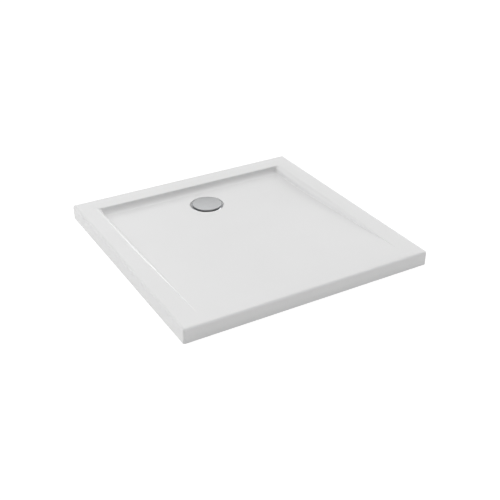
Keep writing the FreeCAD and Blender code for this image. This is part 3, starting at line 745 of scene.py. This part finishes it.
def threaded_stud():
    """A levelling stud along +Z from its ball's centre: ball, neck, spanner collar and rolled thread."""
    tree, known = begin("threaded_stud", STUD)
    work_out(tree, known, (
        ("row", "DIVIDE", "Pitch", ROWS_PER_PITCH),
        ("collar_corner", "DIVIDE", "Collar Flats", math.sqrt(3)),
        ("collar_middle", "MULTIPLY_ADD", "Collar Thickness", 0.5, "Collar Low"),
        ("neck_middle", "DIVIDE", "collar_middle", 2.0),
    ))
    low = add(tree, "ShaderNodeCombineXYZ", [(2, known["collar_middle"])])
    high = add(tree, "ShaderNodeCombineXYZ", [(2, known["Length"])])
    axis = add(tree, "GeometryNodeCurvePrimitiveLine", [("Start", low), ("End", high)])
    rows = add(tree, "GeometryNodeResampleCurve", [("Curve", axis), ("Length", known["row"])], mode="LENGTH")
    ring = add(tree, "GeometryNodeCurvePrimitiveCircle", [("Resolution", STUD_SIDES),
                                                          ("Radius", known["Thread Radius"])])
    rod = add(tree, "GeometryNodeCurveToMesh", [
        ("Curve", rows), ("Profile Curve", ring), ("Fill Caps", True)])
    point = add(tree, "ShaderNodeSeparateXYZ", [(0, add(tree, "GeometryNodeInputPosition"))])
    known["x"], known["y"], known["z"] = point.outputs
    work_out(tree, known, (
        ("angle", "ARCTAN2", "y", "x"),
        ("turns_round", "DIVIDE", "angle", 2 * math.pi),
        ("turns_up", "DIVIDE", "z", "Pitch"),
        ("turns", "SUBTRACT", "turns_up", "turns_round"),
        ("tooth", "PINGPONG", "turns", 0.5),
        ("groove", "RANGE", "tooth", CREST, ROOT, 0.0, "Thread Depth"),
        ("lead_low", "SUBTRACT", "Length", "Thread Depth"),
        ("lead", "RANGE", "z", "lead_low", "Length", 0.0, "Thread Depth"),
        ("cut", "MAXIMUM", "groove", "lead"),
        ("radius", "SUBTRACT", "Thread Radius", "cut"),
        ("share", "DIVIDE", "radius", "Thread Radius"),
        ("cut_x", "MULTIPLY", "x", "share"),
        ("cut_y", "MULTIPLY", "y", "share"),
    ))
    cut = add(tree, "ShaderNodeCombineXYZ", [(0, known["cut_x"]), (1, known["cut_y"]), (2, known["z"])])
    thread = add(tree, "GeometryNodeSetPosition", [("Geometry", rod), ("Position", cut)])
    ball = add(tree, "GeometryNodeMeshUVSphere", [("Segments", STUD_SIDES), ("Rings", STUD_SIDES // 2),
                                                  ("Radius", known["Ball Radius"])])
    neck = add(tree, "GeometryNodeMeshCylinder", [("Vertices", STUD_SIDES), ("Radius", known["Neck Radius"]),
                                                  ("Depth", known["collar_middle"])])
    collar = add(tree, "GeometryNodeMeshCylinder", [("Vertices", 6), ("Radius", known["collar_corner"]),
                                                    ("Depth", known["Collar Thickness"])])
    stud = add(tree, "GeometryNodeJoinGeometry", [(0, thread), (0, ball)])
    for part, middle in ((neck, "neck_middle"), (collar, "collar_middle")):
        raised = add(tree, "ShaderNodeCombineXYZ", [(2, known[middle])])
        moved = add(tree, "GeometryNodeTransform", [("Geometry", part), ("Translation", raised)])
        tree.links.new(moved.outputs[0], stud.inputs[0])
    return end(tree, stud)


def grown(name, tree, sizes, finish, body, node, place=Matrix()):
    """Runs a tree with these sizes and keeps the result as a plain mesh that stands for a CAD node."""
    seed = bpy.data.objects.new(name, bpy.data.meshes.new(name))
    bpy.context.scene.collection.objects.link(seed)
    modifier = seed.modifiers.new("shape", "NODES")
    modifier.node_group = tree
    for socket in tree.interface.items_tree:
        if socket.in_out == "INPUT":
            modifier[socket.identifier] = {**sizes, "Material": finish}[socket.name]
    mesh = bpy.data.meshes.new_from_object(seed.evaluated_get(bpy.context.evaluated_depsgraph_get()))
    mesh.transform(place)
    bpy.data.objects.remove(seed)
    piece = bpy.data.objects.new(name, mesh)
    bpy.context.scene.collection.objects.link(piece)
    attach(piece, body)
    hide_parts(node)
    return piece


FINISHES = {
    "sanitary_acrylic": white_acrylic(),
    "glass_fibre": glass_fibre(),
    "chipboard": chipboard(),
    "cover_chrome": satin_chrome(),
    # Rubber pressed in a mould: near black and matt, with a grey bloom and fine pores.
    "black_rubber": mottled("moulded_rubber", ("#17181A", "#2A2B2C"), 8, (0.60, 0.80), 0.4, 0.03),
    # Polythene stamped from sheet: milky and waxy, with a soft sheen.
    "white_plastic": mottled("stamped_polythene", ("#DEDFDA", "#EBECE8"), 12, (0.40, 0.50), 1.0, 0.01,
                             **{"Subsurface Weight": 0.15, "Subsurface Scale": 0.002, "IOR": 1.51}),
    # Brass turned, polished and plated with nickel and chrome: a bright cool grey under a thin haze.
    "waste_chrome": mottled("polished_chrome_plate", ("#909294", "#9EA0A2"), 20, (0.14, 0.22), 0.6, 0.002,
                            Metallic=1.0),
    # Polypropylene from a spark-eroded mould: even grey with a soft sheen over a fine grain.
    "grey_plastic": mottled("moulded_polypropylene", ("#4E5154", "#5B5E61"), 25, (0.38, 0.52), 0.5, 0.02,
                            IOR=1.49),
    # Steel, cold formed and zinc plated: cool silver with straw patches where the passivate lies thick.
    "zinc_steel": mottled("zinc_plated_steel", ("#A2A8AE", "#B9B6A6"), 5, (0.28, 0.42), 0.3, 0.004,
                          Metallic=1.0),
    # Nylon from a mould: deep black, a little glossier than the rubber.
    "black_plastic": mottled("moulded_nylon", ("#191A1B", "#242526"), 15, (0.42, 0.55), 0.4, 0.015, IOR=1.53),
}


def dress():
    """Gives every CAD node the finish of its slot."""
    slots = {row["node"]: row["material_slot"] for row in frame["record"]["subparts"]}
    for name, piece in frame["nodes"].items():
        piece.material_slots[0].material = FINISHES[slots[name]]


def tray():
    grown("acrylic_tray", acrylic_moulding(), MOULDING, FINISHES["sanitary_acrylic"],
          "tray", "tray_shell")


def studs():
    """One threaded stud on each foot's turning axis, as long as the CAD stud that it stands for. The
    box of a stud that leans ends at the rim of its flat top, above the middle."""
    tree = threaded_stud()
    for joint in frame["joints"]:
        if not joint["name"].endswith("_turn"):
            continue
        node = joint["child"].replace("stud_", "foot_stud_")
        ball = Vector(joint["pos_m"])
        upwards = -Vector(joint["axis"])
        lean = math.hypot(upwards.x, upwards.y)
        length = (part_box(node)[1].z - ball.z - STUD["Thread Radius"] * lean) / upwards.z
        place = Matrix.Translation(ball) @ Vector((0, 0, 1)).rotation_difference(upwards).to_matrix().to_4x4()
        grown("threaded_" + joint["child"], tree, {**STUD, "Length": length}, FINISHES["zinc_steel"],
              joint["child"], node, place)


bpy.context.scene.view_settings.view_transform = "Standard"
camera()
sky()
for name, settings in LAMPS.items():
    lamp(name, *settings)
floor()
dress()
tray()
studs()
